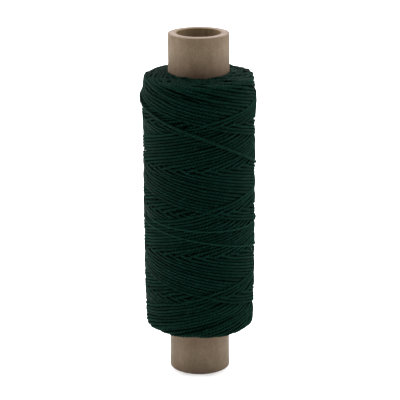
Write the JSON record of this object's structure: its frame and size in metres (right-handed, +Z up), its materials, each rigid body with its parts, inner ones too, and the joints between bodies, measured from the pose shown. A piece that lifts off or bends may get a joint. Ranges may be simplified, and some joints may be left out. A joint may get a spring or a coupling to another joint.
{
  "type": "twine spool",
  "caption": "Upright paperboard tube with an open bore, cross-wound with dark green twisted twine that leaves both tube ends bare.",
  "frame": {"origin": "centre of the tube's bottom end, on the surface that the spool stands on", "axes": "+Z up along the tube's bore; -Y is the front, the side with the last twine laid in view; +X to the right of the front"},
  "size_m": [0.05, 0.0496, 0.15],
  "materials": {
    "tube_liner": "matt brown kraft paper",
    "tube_ply": "cut edge of pale grey-brown paperboard",
    "tube_wrap": "smooth kraft paper, faintly mottled",
    "twine": "dark green twisted synthetic twine with a slight sheen"
  },
  "bodies": {
    "root": {"core_liner": "tube_liner", "core_ply_1": "tube_ply", "core_ply_2": "tube_ply", "core_ply_3": "tube_ply", "core_ply_4": "tube_ply", "core_ply_5": "tube_ply", "core_wrap": "tube_wrap", "twine_layer_1": "twine", "twine_layer_2": "twine", "twine_layer_3": "twine", "twine_layer_4": "twine", "twine_layer_5": "twine", "closing_turn_1": "twine", "closing_turn_2": "twine", "closing_turn_3": "twine", "tucked_end": "twine"}
  },
  "joints": []
}
